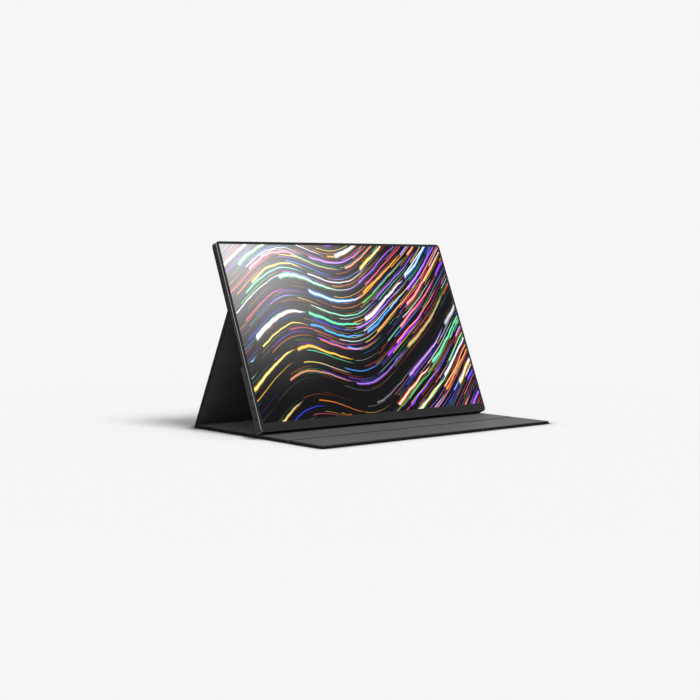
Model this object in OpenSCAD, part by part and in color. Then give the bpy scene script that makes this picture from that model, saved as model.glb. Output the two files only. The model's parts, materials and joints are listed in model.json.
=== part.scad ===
// Portable monitor standing on its folding cover.
// The flap and the spine lie on the desk, the stand panel rises from the spine, and the
// upper panel carries the monitor, whose lower rear edge rests in a groove of the flap.
// Row frame: X across, Y from the front of the flap to the spine, Z up from the desk.

/* [Screen] */
// Width of the lit area
screen_w = 344.7; // [300:0.1:380]
// Height of the lit area
screen_h = 215.4; // [190:0.1:240]
// Dark border at each side of the lit area
bezel_side = 3.85; // [3.5:0.05:8]
// Dark border above the lit area
bezel_top = 3.6; // [3.2:0.05:8]
// Dark border below the lit area
bezel_bottom = 10.7; // [9.5:0.1:16]

/* [Monitor casing] */
// Depth of the thin upper part
slab_t = 5.3; // [5:0.1:8]
// Depth of the thicker lower housing, from the front face
housing_t = 10.5; // [10.2:0.1:14]
// Height of the thicker lower housing
housing_h = 79.6; // [74:0.1:110]
// Radius of the casing's corners, seen from the front
casing_corner_r = 5; // [3:0.5:8]
// Radius of the long lower rear edge, which sits in the groove
seat_edge_r = 1.5; // [1:0.1:1.8]
// Bright cut edge round the front
chamfer = 0.5; // [0.3:0.05:0.6]
// Wall of the rear panel
panel_wall = 0.8; // [0.6:0.05:1]
// Wall of the lower housing
housing_wall = 1.1; // [0.9:0.05:1.3]
// Metal rim seen round the front glass
rim = 0.7; // [0.65:0.05:1]
// Ledge behind the rim that carries the glass
ledge = 0.9; // [0.7:0.05:1.2]

/* [Display stack] */
// Front glass
glass_t = 0.6; // [0.4:0.05:0.8]
// Black adhesive frame behind the glass
tape_t = 0.2; // [0.1:0.05:0.3]
// Liquid crystal cell
cell_t = 0.9; // [0.7:0.05:1.1]
// Diffuser and prism films
films_t = 0.3; // [0.2:0.05:0.4]
// Light guide plate
guide_t = 0.5; // [0.4:0.05:0.7]
// White reflector sheet
reflector_t = 0.15; // [0.1:0.05:0.3]
// Sheet steel of the backlight tray
tray_t = 0.25; // [0.2:0.05:0.3]
// Number of light-emitting chips along the lower edge
led_count = 36; // [20:2:44]

/* [Buttons and sockets] */
// Height of the lowest side button above the casing's lower edge
button_low = 17.2; // [16:0.1:20]
// Distance between side buttons
button_pitch = 13; // [9:0.1:14]
// Radius of a button's cap
button_r = 1.7; // [1.4:0.05:1.9]
// How far a button stands out of the side
button_out = 0.9; // [0.5:0.05:1]
// How far a button moves when it is pressed
button_travel = 0.4; // [0.2:0.05:0.45]
// Gap round a button in its hole
button_gap = 0.2; // [0.1:0.05:0.3]
// Depth of the button row behind the front face
button_depth = 6.2; // [5.9:0.05:6.3]
// Height of the status light above the casing's lower edge
light_up = 66.7; // [64:0.1:70]
// Radius of the audio socket's hole
jack_r = 1.8; // [1.78:0.01:1.85]
// Depth of the audio socket's hole
jack_depth = 13; // [11:0.1:14]

/* [Cover layers] */
// Outer skin
skin_t = 0.7; // [0.5:0.05:1]
// Stiffening board
board_t = 1.4; // [1.2:0.05:2]
// Soft lining
lining_t = 0.9; // [0.6:0.05:1.2]
// Skin turned over on the lining side, above the board
hem_t = 0.6; // [0.4:0.05:0.6]
// Width of the turned skin that shows round the lining
hem_w = 1.9; // [1.5:0.1:4]
// Skin at the edge of a board
edge_wall = 0.9; // [0.6:0.05:1.2]

/* [Cover outline] */
// How far the cover reaches past the monitor at each side
cover_over = 0.5; // [0:0.1:3]
// Distance between the flap's grooves, and so the width of each of its four strips
strip_w = 57.5; // [54:0.1:62]
// Width of the spine between the flap and the stand panel
spine_w = 10; // [9:0.1:14]
// Length of the stand panel from fold to fold
stand_len = 154.5; // [146:0.1:164]
// Height of the upper fold up the monitor's back
hinge_up = 147; // [138:0.1:156]
// Radius of the flap's front corners
flap_corner_r = 3; // [2:0.5:6]
// Radius of the upper panel's free corners
upper_corner_r = 5; // [3:0.5:8]

/* [Folds and grooves] */
// Radius of the rolled skin in each working fold
fold_r = 1; // [0.8:0.05:1]
// Running gap between a roll and the panel that turns round it
fold_gap = 0.1; // [0.05:0.01:0.1]
// Depth of a pressed groove in the lining
groove_depth = 0.5; // [0.3:0.05:0.55]
// Half width of a pressed groove at the lining's face
groove_half = 2.3; // [2.2:0.1:3]
// Half distance between two boards at a groove
board_gap = 1.6; // [1.4:0.1:2.2]
// Gap between the groove's floor and the monitor's edge
seat_gap = 0.3; // [0.3:0.05:0.5]
// How far the front strip can lift
strip_lift = 90; // [60:1:95]

/* [Magnets] */
// Length of a holding magnet
magnet_l = 40; // [20:1:50]
// Width of a holding magnet
magnet_w = 10; // [6:0.5:12]
// Distance of the outer magnets' middle from the monitor's side
magnet_in = 38.2; // [30:0.1:45]
// Distance of the flap's magnets from its free edge
flap_magnet_in = 14; // [12:0.5:20]

/* [Hidden] */
$fn = 48;
hair = 0.01;

// Overall sizes of the casing and the cover.
casing_w = screen_w + 2 * bezel_side;
casing_h = screen_h + bezel_top + bezel_bottom;
cover_w = casing_w + 2 * cover_over;
cover_t = skin_t + board_t + lining_t;
hem_top = skin_t + board_t + hem_t;
board_top = skin_t + board_t;
stack_t = glass_t + tape_t + cell_t + films_t + guide_t + reflector_t + tray_t;
cell_at = glass_t + tape_t;
films_at = cell_at + cell_t;
guide_at = films_at + films_t;
reflector_at = guide_at + guide_t;
tray_at = reflector_at + reflector_t;

// Lines of the cover on the desk, counted along Y.
floor_l = 4 * strip_w + spine_w;
front_y = -floor_l / 2;
groove_1 = front_y + strip_w;
groove_2 = groove_1 + strip_w;
groove_3 = groove_2 + strip_w;
groove_4 = groove_3 + strip_w;
foot_y = floor_l / 2 - fold_r;
foot_z = fold_r;

// The stand is a triangle: the seat in groove 2, the foot fold and the upper fold.
// Its sides fix how far the monitor leans back.
seat_y = groove_2;
seat_z = cover_t - groove_depth + seat_gap + seat_edge_r;
fold_depth = slab_t + cover_t - fold_r;
seat_rise = hinge_up - seat_edge_r;
seat_run = fold_depth - (housing_t - seat_edge_r);
side_back = norm([seat_rise, seat_run]);
side_floor = norm([foot_y - seat_y, foot_z - seat_z]);
floor_angle = atan2(foot_z - seat_z, foot_y - seat_y);
seat_angle = acos((side_back ^ 2 + side_floor ^ 2 - stand_len ^ 2) / (2 * side_back * side_floor));
lean = 90 - atan2(seat_run, seat_rise) - floor_angle - seat_angle;

function back_point(up, depth) = [
    base_y + up * sin(lean) + depth * cos(lean),
    base_z + up * cos(lean) - depth * sin(lean)
];
base_y = seat_y - seat_edge_r * sin(lean) - (housing_t - seat_edge_r) * cos(lean);
base_z = seat_z - seat_edge_r * cos(lean) + (housing_t - seat_edge_r) * sin(lean);
fold_point = back_point(hinge_up, fold_depth);
stand_angle = atan2(fold_point[1] - foot_z, fold_point[0] - foot_y);
upper_angle = 90 - lean;
upper_len = casing_h - hinge_up;
upper_bend = stand_angle - upper_angle;

// Inner faces of the housing, and the four magnets spread evenly between its sides.
inner_back = housing_t - housing_wall;
inner_x = casing_w / 2 - housing_wall;
inner_top = housing_h - housing_wall;
port_x = casing_w / 2;
button_count = 3;
magnet_x = [for (share = [-1, -1 / 3, 1 / 3, 1]) share * (port_x - magnet_in)];

echo(casing_w = casing_w, casing_h = casing_h, cover_w = cover_w, floor_l = floor_l);
echo(lean = lean, stand_angle = stand_angle, upper_bend = upper_bend);
echo(base = [base_y, base_z], fold = fold_point, foot = [foot_y, foot_z], flap = groove_1);

// Frames in which the pieces are drawn.
// Monitor: x across, y into the depth from the front glass, z up the screen.
module in_monitor() {
    translate([0, base_y, base_z]) rotate([-lean, 0, 0]) children();
}

// Upper panel: y from the upper fold to its free edge, z from the skin to the lining.
module in_upper() {
    translate([0, fold_point[0], fold_point[1]]) rotate([upper_angle, 0, 0])
        translate([0, 0, -fold_r]) children();
}

// Stand panel: y from the foot fold to the upper fold, z from the skin to the lining.
module in_stand() {
    translate([0, foot_y, foot_z]) rotate([stand_angle, 0, 0]) translate([0, 0, -fold_r]) children();
}

// Helpers for flat shapes.
// A rectangle that stands on y = 0 with its own lower and upper corner radius.
module soft_rect(w, h, low_r, high_r) {
    translate([-w / 2 + low_r, 0]) square([w - 2 * low_r, h / 2]);
    translate([-w / 2, low_r]) square([w, h - low_r - high_r]);
    translate([-w / 2 + high_r, h / 2]) square([w - 2 * high_r, h / 2]);
    for (side = [-1, 1]) {
        if (low_r > 0) translate([side * (w / 2 - low_r), low_r]) circle(low_r);
        if (high_r > 0) translate([side * (w / 2 - high_r), h - high_r]) circle(high_r);
    }
}

// Sets a flat shape upright in the monitor's frame, from one depth to another.
module layer(from, to) {
    translate([0, to, 0]) rotate([90, 0, 0]) linear_extrude(to - from) children();
}

// Extrudes a side view, drawn as depth or length and height, across the object.
module across(width) {
    translate([-width / 2, 0, 0]) rotate([90, 0, 90]) linear_extrude(width) children();
}

module block(x, y, z) {
    translate([x[0], y[0], z[0]]) cube([x[1] - x[0], y[1] - y[0], z[1] - z[0]]);
}

// A cylinder along X between two places.
module along_x(from, to, r) {
    translate([from, 0, 0]) rotate([0, 90, 0]) cylinder(h = to - from, r = r);
}

// A long rounded slot along z, drawn as a solid through the depth.
module slot_y(x, z, r, length, from, to) {
    layer(from, to) translate([x, z]) {
        translate([-r, -length / 2 + r]) square([2 * r, length - 2 * r]);
        for (end = [-1, 1]) translate([0, end * (length / 2 - r)]) circle(r);
    }
}

// Casing and display.
pocket_w = casing_w - 2 * (rim + ledge);
pocket_low = 2.2;
pocket_top_wall = 1.4;
pocket_high = casing_h - pocket_top_wall;
glass_gap = 0.05;

module casing_outline() {
    soft_rect(casing_w, casing_h, casing_corner_r, casing_corner_r);
}

module front_glass() {
    inset = rim + glass_gap;
    color([0.03, 0.03, 0.035]) in_monitor() layer(0, glass_t) translate([0, inset])
        soft_rect(casing_w - 2 * inset, casing_h - 2 * inset, casing_corner_r - inset,
            casing_corner_r - inset);
}

module stack_pocket() {
    translate([-pocket_w / 2, pocket_low]) square([pocket_w, pocket_high - pocket_low]);
}

module glass_tape() {
    edge = 0.2;
    color([0.02, 0.02, 0.02]) in_monitor() layer(glass_t, cell_at) difference() {
        stack_pocket();
        translate([-screen_w / 2 - edge, bezel_bottom - edge])
            square([screen_w + 2 * edge, screen_h + 2 * edge]);
    }
}

// A ring with a cut front edge. The rim stands round the glass and the ledge behind it.
module front_frame() {
    color([0.16, 0.16, 0.17]) in_monitor() difference() {
        hull() {
            layer(0, hair) translate([0, chamfer]) soft_rect(casing_w - 2 * chamfer,
                casing_h - 2 * chamfer, casing_corner_r - chamfer, casing_corner_r - chamfer, $fn = 32);
            layer(chamfer, stack_t) soft_rect(casing_w, casing_h, casing_corner_r,
                casing_corner_r, $fn = 32);
        }
        layer(-1, glass_t) translate([0, rim]) soft_rect(casing_w - 2 * rim, casing_h - 2 * rim,
            casing_corner_r - rim, casing_corner_r - rim);
        layer(-1, stack_t + 1) stack_pocket();
    }
}

cell_side = 1.2;
cell_low = 3.5;
cell_high = 1;

module lcd_panel() {
    color([0.05, 0.05, 0.08]) in_monitor() layer(cell_at, films_at)
        translate([-screen_w / 2 - cell_side, bezel_bottom - cell_low])
            square([screen_w + 2 * cell_side, screen_h + cell_low + cell_high]);
}

sheet_side = 0.8;
sheet_low = 1;

module sheet(from, to) {
    in_monitor() layer(from, to) translate([-screen_w / 2 - sheet_side, bezel_bottom - sheet_low])
        square([screen_w + 2 * sheet_side, screen_h + sheet_low + sheet_side]);
}

module optical_films() {
    color([0.9, 0.9, 0.92]) sheet(films_at, guide_at);
}

module light_guide() {
    color([0.85, 0.9, 0.92, 0.6]) sheet(guide_at, reflector_at);
}

module reflector_sheet() {
    color([0.95, 0.95, 0.95]) sheet(reflector_at, tray_at);
}

tray_gap = 0.3;
tray_low = pocket_low + 1.2;

module backlight_tray() {
    w = pocket_w - 2 * tray_gap;
    h = pocket_high - tray_gap - tray_low;
    color([0.6, 0.62, 0.65]) in_monitor() difference() {
        layer(films_at, stack_t) translate([-w / 2, tray_low]) square([w, h]);
        layer(films_at - 1, tray_at) translate([-w / 2 + tray_t, tray_low + tray_t])
            square([w - 2 * tray_t, h - 2 * tray_t]);
    }
}

// A flexible strip on the tray, with its chips facing up into the light guide.
module led_strip() {
    strip_h = 0.25;
    strip_in = 2;
    chips_in = 6;
    chip_h = 1.2;
    chip_l = 3;
    low = tray_low + tray_t;
    pitch = (screen_w - 2 * chips_in) / led_count;
    color([0.95, 0.9, 0.6]) in_monitor() {
        block([-screen_w / 2 + strip_in, screen_w / 2 - strip_in], [guide_at, tray_at],
            [low, low + strip_h]);
        for (k = [0:led_count - 1]) {
            x = (k - (led_count - 1) / 2) * pitch;
            block([x - chip_l / 2, x + chip_l / 2], [guide_at, reflector_at],
                [low + strip_h, low + strip_h + chip_h]);
        }
    }
}

// Thin upper back of the casing, from the housing's top edge to the top of the monitor.
module rear_panel() {
    color([0.13, 0.13, 0.14]) in_monitor() difference() {
        layer(stack_t, slab_t) intersection() {
            casing_outline();
            translate([-casing_w / 2, housing_h]) square([casing_w, casing_h]);
        }
        layer(stack_t - 1, slab_t - panel_wall) translate([0, housing_h])
            soft_rect(pocket_w, casing_h - housing_h - rim - ledge, 0, casing_corner_r - rim - ledge);
    }
}

// Circuit boards: the main board behind the sockets and a narrow one behind the buttons.
board_front = 7.9;
circuit_t = 1;
main_left = 24;
main_right_in = 7;
main_right = port_x - main_right_in;
main_low = 22;
main_top_in = 3.5;
main_high = inner_top - main_top_in;
narrow_left_in = 1.2;
narrow_left = -inner_x + narrow_left_in;
narrow_w = 11.8;
narrow_low = 8;
narrow_top_in = 4.9;
narrow_high = inner_top - narrow_top_in;

// Screws, each counted from the edges of the board that it holds.
screw_low_in = 5;
screw_high_in = 4;
screw_low = main_low + screw_low_in;
screw_high = main_high - screw_high_in;
screw_step = 80;
screw_right_in = 19;
screw_left_in = 6;
screw_left = main_left + screw_left_in;
screw_middle = screw_left + screw_step;
screw_right = main_right - screw_right_in;
narrow_screw_in = 7.9;
narrow_screw = narrow_left + narrow_screw_in;
narrow_screw_low = narrow_low + screw_low_in;
narrow_screw_high_in = 4.6;
narrow_screw_high = narrow_high - narrow_screw_high_in;
screw_at = [
    [screw_left, screw_low], [screw_left, screw_high], [screw_middle, screw_low],
    [screw_middle, screw_high], [screw_right, screw_high],
    [narrow_screw, narrow_screw_low], [narrow_screw, narrow_screw_high]
];
boss_r = 2.2;
boss_hole_r = 0.8;
plate_hole_r = 0.95;
screw_reach = 0.2;
boss_reach = 0.35;

// Sockets on the right side and speakers behind slots in the back.
usb_w = 8.94;
usb_h = 3.16;
usb_l = 7.3;
usb_wall = 0.3;
usb_lower_up = 28;
usb_upper_up = 42;
usb_gap = 0.15;
usb_depth = board_front - usb_h / 2;
hdmi_up = 57;
hdmi_w = 11.2;
hdmi_h = 3.2;
hdmi_l = 7.5;
hdmi_depth = board_front - hdmi_h / 2;
jack_up = 68;
jack_body = 4.6;
jack_nose_r = 2.6;
jack_depth_at = board_front - jack_body / 2;
mouth_in = 0.15;
slot_r = 0.5;
slot_l = 9;
slot_count = 9;
slot_pitch = 3.2;
speaker_in = 46.2;
speaker_x = port_x - speaker_in;
speaker_w = 34;
speaker_h = 11;
speaker_low = 7;
speaker_t = 3.5;
light_w = 3.2;
light_h = 1.2;
light_depth = 5.2;

// Side view of the housing, with its lower rear edge rounded to sit in the groove.
module housing_profile() {
    top_r = 0.8;
    difference() {
        translate([stack_t, 0]) square([housing_t - stack_t, housing_h]);
        translate([housing_t - seat_edge_r, -1]) square([seat_edge_r + 1, seat_edge_r + 1]);
        translate([housing_t - top_r, housing_h - top_r]) square(top_r + 1);
    }
    translate([housing_t - seat_edge_r, seat_edge_r]) circle(seat_edge_r);
    translate([housing_t - top_r, housing_h - top_r]) circle(top_r);
}

// A flat oval for the USB sockets, seen from the side: wide along z, thin along the depth.
module oval(w, h) {
    square([h, w - h], center = true);
    for (end = [-1, 1]) translate([0, end * (w - h) / 2]) circle(h / 2);
}

// Puts a side view at a place on the right-hand wall, from one x to another.
module on_side(from, to, depth, up) {
    translate([from, depth, up]) rotate([90, 0, 90]) linear_extrude(to - from) children();
}

module hdmi_outline(grow) {
    w = hdmi_w / 2 + grow;
    h = hdmi_h / 2 + grow;
    polygon([[-h, -w], [h - 1, -w], [h, -w + 1], [h, w - 1], [h - 1, w], [-h, w]]);
}

module button_places() {
    for (k = [0:button_count - 1]) translate([0, button_depth, button_low + k * button_pitch]) children();
}

module light_outline(grow) {
    oval(light_w + 2 * grow, light_h + 2 * grow);
}

module lower_housing() {
    wall = housing_wall;
    color([0.13, 0.13, 0.14]) in_monitor() difference() {
        union() {
            difference() {
                intersection() {
                    across(casing_w) housing_profile();
                    layer(stack_t - 1, housing_t + 1) casing_outline();
                }
                layer(stack_t - 1, inner_back) translate([0, wall])
                    soft_rect(casing_w - 2 * wall, housing_h - 2 * wall, casing_corner_r - wall, 0);
            }
            for (p = screw_at) translate([p[0], board_front + circuit_t, p[1]]) rotate([-90, 0, 0])
                cylinder(h = inner_back - board_front - circuit_t + hair, r = boss_r);
        }
        for (p = screw_at) translate([p[0], board_front, p[1]]) rotate([-90, 0, 0])
            cylinder(h = inner_back + boss_reach - board_front, r = boss_hole_r);
        button_places() along_x(-casing_w / 2 - 1, -inner_x + 1, button_r + button_gap);
        on_side(-casing_w / 2 - 1, -inner_x + 1, light_depth, light_up) light_outline(0);
        for (up = [usb_lower_up, usb_upper_up])
            on_side(inner_x - 1, port_x + 1, usb_depth, up)
                oval(usb_w + 2 * usb_gap, usb_h + 2 * usb_gap);
        on_side(inner_x - 1, port_x + 1, hdmi_depth, hdmi_up) hdmi_outline(usb_gap);
        translate([0, jack_depth_at, jack_up]) along_x(inner_x - 1, port_x + 1, jack_nose_r);
        for (side = [-1, 1]) for (k = [0:slot_count - 1])
            slot_y(side * speaker_x + (k - (slot_count - 1) / 2) * slot_pitch,
                speaker_low + speaker_h / 2, slot_r, slot_l, inner_back - 1, housing_t + 1);
    }
}

magnet_share = 0.55;
magnet_up = hinge_up + upper_len * magnet_share;
magnet_t = 1.3;

module monitor_magnets() {
    back = slab_t - panel_wall;
    color([0.7, 0.7, 0.72]) in_monitor() for (x = magnet_x)
        block([x - magnet_l / 2, x + magnet_l / 2], [back - magnet_t, back],
            [magnet_up - magnet_w / 2, magnet_up + magnet_w / 2]);
}

// Electronics in the lower housing.
module circuit_plate(x, z) {
    difference() {
        block(x, [board_front, board_front + circuit_t], z);
        for (p = screw_at) translate([p[0], board_front - 1, p[1]]) rotate([-90, 0, 0])
            cylinder(h = circuit_t + 2, r = plate_hole_r);
    }
}

module main_board() {
    color([0.05, 0.25, 0.12]) in_monitor() circuit_plate([main_left, main_right],
        [main_low, main_high]);
}

// Width, height and thickness of each chip, after its place from the board's lower left corner.
controller = [[36, 26], [14, 14, 1.2]];
memory = [[58, 38], [9, 9, 1]];
clock_chip = [[60, 9], [8, 6, 1]];
sound_chip = [[16, 36], [10, 5, 1.4]];
coil = [[16, 14], [7, 7, 2.4]];
left_chips = [controller, memory, clock_chip, sound_chip, coil];
// The same for the chips by the sockets, counted from the board's lower right corner.
port_chip_low = [[-41.2, 14], [6, 6, 0.9]];
port_chip_high = [[-41.2, 28], [6, 6, 0.9]];
right_chips = [port_chip_low, port_chip_high];

module chip_block(chip, edge_x) {
    place = chip[0] + [edge_x, main_low];
    size = chip[1];
    block([place[0] - size[0] / 2, place[0] + size[0] / 2], [board_front - size[2], board_front],
        [place[1] - size[1] / 2, place[1] + size[1] / 2]);
}

module board_chips() {
    color([0.08, 0.08, 0.09]) in_monitor() {
        for (chip = left_chips) chip_block(chip, main_left);
        for (chip = right_chips) chip_block(chip, main_right);
    }
}

// A folded tin box over the display controller and its memory, counted from the board's lower left corner.
shield_right = 26;
shield_up = 18;
shield_w = 42;
shield_h = 27;

module chip_shield() {
    x = [main_left + shield_right, main_left + shield_right + shield_w];
    z = [main_low + shield_up, main_low + shield_up + shield_h];
    lid = 0.2;
    rise = 2.2;
    color([0.72, 0.72, 0.7]) in_monitor() difference() {
        block(x, [board_front - rise, board_front], z);
        block([x[0] + lid, x[1] - lid], [board_front - rise + lid, board_front + 1],
            [z[0] + lid, z[1] - lid]);
    }
}

// The panel's own driver board lies on the backlight tray.
panel_board_t = 0.8;
panel_board_x = 100;
panel_board_low = 5;
panel_board_high = 17;
flex_t = 0.12;
flex_w = 36;
flex_pitch = 66;
flex_lap = 3;

module panel_board() {
    color([0.05, 0.25, 0.12]) in_monitor() block([-panel_board_x, panel_board_x],
        [stack_t, stack_t + panel_board_t], [panel_board_low, panel_board_high]);
}

// Three films go from the cell's lower edge round the tray to the driver board.
module panel_flex() {
    start = cell_at + cell_t / 2;
    low = (pocket_low + tray_low) / 2;
    back = stack_t + panel_board_t;
    left = -flex_w / 2;
    color([0.75, 0.5, 0.15]) in_monitor() for (k = [-1:1]) translate([left + k * flex_pitch, 0, 0]) {
        cube_between([0, start, low], [flex_w, start + flex_t, bezel_bottom - cell_low]);
        cube_between([0, start, low], [flex_w, back + flex_t, low + flex_t]);
        cube_between([0, back, low], [flex_w, back + flex_t, panel_board_low + flex_lap]);
    }
}

module cube_between(a, b) {
    translate(a) cube(b - a);
}

// A flat cable from the driver board up to the main board.
module board_cable() {
    w = 18;
    from_left = 40;
    x = main_left + from_left;
    lap = 4;
    start = stack_t + panel_board_t;
    turn = panel_board_high + flex_lap;
    color([0.85, 0.85, 0.8]) in_monitor() translate([x, 0, 0]) {
        cube_between([0, start, panel_board_high - lap], [w, start + flex_t, turn + flex_t]);
        cube_between([0, start, turn], [w, board_front, turn + flex_t]);
        cube_between([0, board_front - flex_t, turn], [w, board_front, main_low + lap]);
    }
}

// A metal shell that is open at the casing's side, with its tongue and closed back.
module usb_socket(up) {
    back = 1;
    tongue_w = 6.7;
    tongue_h = 0.7;
    tongue_in = 1.6;
    color([0.75, 0.76, 0.78]) in_monitor() {
        difference() {
            on_side(port_x - mouth_in - usb_l, port_x - mouth_in, usb_depth, up) oval(usb_w, usb_h);
            on_side(port_x - mouth_in - usb_l + back, port_x + 1, usb_depth, up)
                oval(usb_w - 2 * usb_wall, usb_h - 2 * usb_wall);
        }
        on_side(port_x - mouth_in - usb_l + back - hair, port_x - tongue_in, usb_depth, up)
            square([tongue_h, tongue_w], center = true);
    }
}

module usb_socket_lower() {
    usb_socket(usb_lower_up);
}

module usb_socket_upper() {
    usb_socket(usb_upper_up);
}

module hdmi_socket() {
    back = 1;
    wall = 0.4;
    tongue_w = 7.2;
    tongue_h = 0.6;
    tongue_in = 2;
    color([0.75, 0.76, 0.78]) in_monitor() {
        difference() {
            on_side(port_x - mouth_in - hdmi_l, port_x - mouth_in, hdmi_depth, hdmi_up) hdmi_outline(0);
            on_side(port_x - mouth_in - hdmi_l + back, port_x + 1, hdmi_depth, hdmi_up)
                hdmi_outline(-wall);
        }
        on_side(port_x - mouth_in - hdmi_l + back - hair, port_x - tongue_in, hdmi_depth, hdmi_up)
            square([tongue_h, tongue_w], center = true);
    }
}

// A block on the board with a round nose that reaches the casing's side.
module audio_socket() {
    body_w = 6;
    end_wall = 1;
    wall_gap = 0.1;
    nose_gap = 0.05;
    back = port_x - jack_depth - end_wall;
    color([0.06, 0.06, 0.06]) in_monitor() translate([0, jack_depth_at, jack_up]) difference() {
        union() {
            block([back, inner_x - wall_gap], [-jack_body / 2, jack_body / 2], [-body_w / 2, body_w / 2]);
            along_x(inner_x - 1, port_x, jack_nose_r - nose_gap);
        }
        along_x(port_x - jack_depth, port_x + 1, jack_r);
    }
}

module speaker(side) {
    ring = 2.2;
    dish = 0.6;
    x = side * speaker_x;
    color([0.1, 0.1, 0.11]) in_monitor() difference() {
        block([x - speaker_w / 2, x + speaker_w / 2], [inner_back - speaker_t, inner_back],
            [speaker_low, speaker_low + speaker_h]);
        block([x - speaker_w / 2 + ring, x + speaker_w / 2 - ring], [inner_back - dish, inner_back + 1],
            [speaker_low + ring, speaker_low + speaker_h - ring]);
    }
}

module speaker_left() {
    speaker(-1);
}

module speaker_right() {
    speaker(1);
}

// Buttons: caps on the left side, each on its own side-facing switch.
switch_in = 1.5;
switch_front = -inner_x + switch_in;
switch_l = 3.2;
stem_r = 0.6;
stem_gap = 0.2;
stem_reach = 0.5;
press_room = 0.6;
flange_t = 0.5;
flange_r = button_r + 0.6;
flange_gap = 0.1;

module button_board() {
    color([0.05, 0.25, 0.12]) in_monitor() circuit_plate([narrow_left, narrow_left + narrow_w],
        [narrow_low, narrow_high]);
}

module button_switches() {
    w = 4.6;
    h = board_front - button_depth;
    color([0.2, 0.2, 0.22]) in_monitor() button_places() difference() {
        block([switch_front, switch_front + switch_l], [-h, h], [-w / 2, w / 2]);
        along_x(switch_front - 1, switch_front + button_travel + press_room, stem_r + stem_gap);
    }
}

// Round cap with a softened edge, a retaining flange behind the wall and a stem.
module button(k) {
    face = button_out;
    soft = 0.5;
    flange_at = housing_wall + flange_gap;
    stem_end = housing_wall + switch_in + stem_reach;
    color([0.2, 0.2, 0.21]) in_monitor()
        translate([-casing_w / 2, button_depth, button_low + k * button_pitch]) rotate([0, 90, 0])
            rotate_extrude() {
                translate([0, -face]) square([button_r - soft, soft]);
                translate([0, -face + soft]) square([button_r, face - soft + flange_at]);
                intersection() {
                    translate([button_r - soft, -face + soft]) circle(soft);
                    translate([0, -face]) square([button_r, soft]);
                }
                translate([0, flange_at]) square([flange_r, flange_t]);
                translate([0, flange_at]) square([stem_r, stem_end - flange_at]);
            }
}

module button_1() {
    button(0);
}

module button_2() {
    button(1);
}

module button_3() {
    button(2);
}

// A smoked window in the side wall with its light pipe behind.
module status_light() {
    pipe_l = 1.2;
    window_gap = 0.02;
    color([0.25, 0.25, 0.28]) in_monitor()
        on_side(-casing_w / 2, -inner_x + pipe_l, light_depth, light_up) light_outline(-window_gap);
}

module board_screws() {
    head_r = 1.5;
    head_t = 0.7;
    shank_r = 0.72;
    color([0.35, 0.35, 0.37]) in_monitor() for (p = screw_at)
        translate([p[0], board_front, p[1]]) rotate([-90, 0, 0]) {
            translate([0, 0, -head_t]) cylinder(h = head_t, r = head_r);
            translate([0, 0, -hair]) cylinder(h = inner_back + screw_reach - board_front, r = shank_r);
        }
}

// Cover panels. Each is drawn flat in its own frame: y along it and z from skin to lining.
lining_x = cover_w / 2 - hem_w;
board_x = cover_w / 2 - edge_wall;
fold_margin = 1.5;
fold_half = 0.06;

// Side view of what a fold takes from the panel that starts at y = 0 and runs to +y.
// The panel has room to bend by these angles towards its lining and towards its skin.
module fold_cut(lining_bend, skin_bend, gap) {
    reach = 3 * cover_t;
    up = reach * tan(lining_bend / 2 + fold_margin);
    down = reach * tan(skin_bend / 2 + fold_margin);
    translate([0, fold_r]) {
        polygon([[-reach, -reach], [down, -reach], [fold_half, 0], [up, reach], [-reach, reach]]);
        circle(fold_r + gap);
    }
}

// Places a fold's cut at an end of a panel: facing = 1 where the panel runs to +y.
module at_end(y, facing) {
    translate([y, 0]) scale([facing, 1]) children();
}

// Outline of a panel seen from its lining side, from y0 to y1, with its corner radii.
module panel_outline(y0, y1, r0, r1) {
    translate([0, y0]) soft_rect(cover_w, y1 - y0, r0, r1);
}

// The skin wraps the edges of the boards and turns over on the lining side.
// free0 and free1 say which ends are free edges; the side view of the folds is cut away.
module skin_layer(y0, y1, r0, r1, free0, free1) {
    difference() {
        intersection() {
            linear_extrude(hem_top) panel_outline(y0, y1, r0, r1);
            across(cover_w) difference() {
                translate([y0, 0]) square([y1 - y0, hem_top]);
                children();
            }
        }
        block([-board_x, board_x], [free0 ? y0 + edge_wall : y0 - 1, free1 ? y1 - edge_wall : y1 + 1],
            [skin_t, board_top]);
        block([-lining_x, lining_x], [free0 ? y0 + hem_w : y0 - 1, free1 ? y1 - hem_w : y1 + 1],
            [board_top - hair, cover_t + 1]);
    }
}

module board_layer(y0, y1) {
    block([-board_x, board_x], [y0, y1], [skin_t, board_top]);
}

// Lining between two places along the panel; children are the side views of folds and grooves.
module lining_layer(y0, y1) {
    across(2 * lining_x) difference() {
        translate([y0, board_top]) square([y1 - y0, lining_t]);
        children();
    }
}

// Lining pressed down between two boards, as wide as the boards.
module lining_fill(y0, y1) {
    across(2 * board_x) difference() {
        translate([y0, skin_t]) square([y1 - y0, board_t]);
        children();
    }
}

// Side view of a pressed groove, whose floor is narrower than the gap between the boards.
module groove(y) {
    floor_share = 0.75;
    floor_half = board_gap * floor_share;
    translate([y, cover_t]) polygon([
        [-floor_half, -groove_depth], [floor_half, -groove_depth],
        [groove_half, hair], [-groove_half, hair]
    ]);
}

module fold_roll() {
    along_x(-cover_w / 2, cover_w / 2, fold_r);
}

// Where a board and a lining stop before each kind of fold.
foot_board_end = 2.3;
flap_board_end = 2.2;
upper_board_end = 2.2;
upper_lining_start = 1.5;
lining_back = 3.5;
stand_board_back = 4.2;

// Upper panel, held on the monitor's back by magnets.
module upper_cuts(gap) {
    fold_cut(0, upper_bend, gap);
}

module upper_skin() {
    color([0.1, 0.1, 0.1]) in_upper() skin_layer(0, upper_len, 0, upper_corner_r, false, true)
        upper_cuts(0);
}

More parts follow.
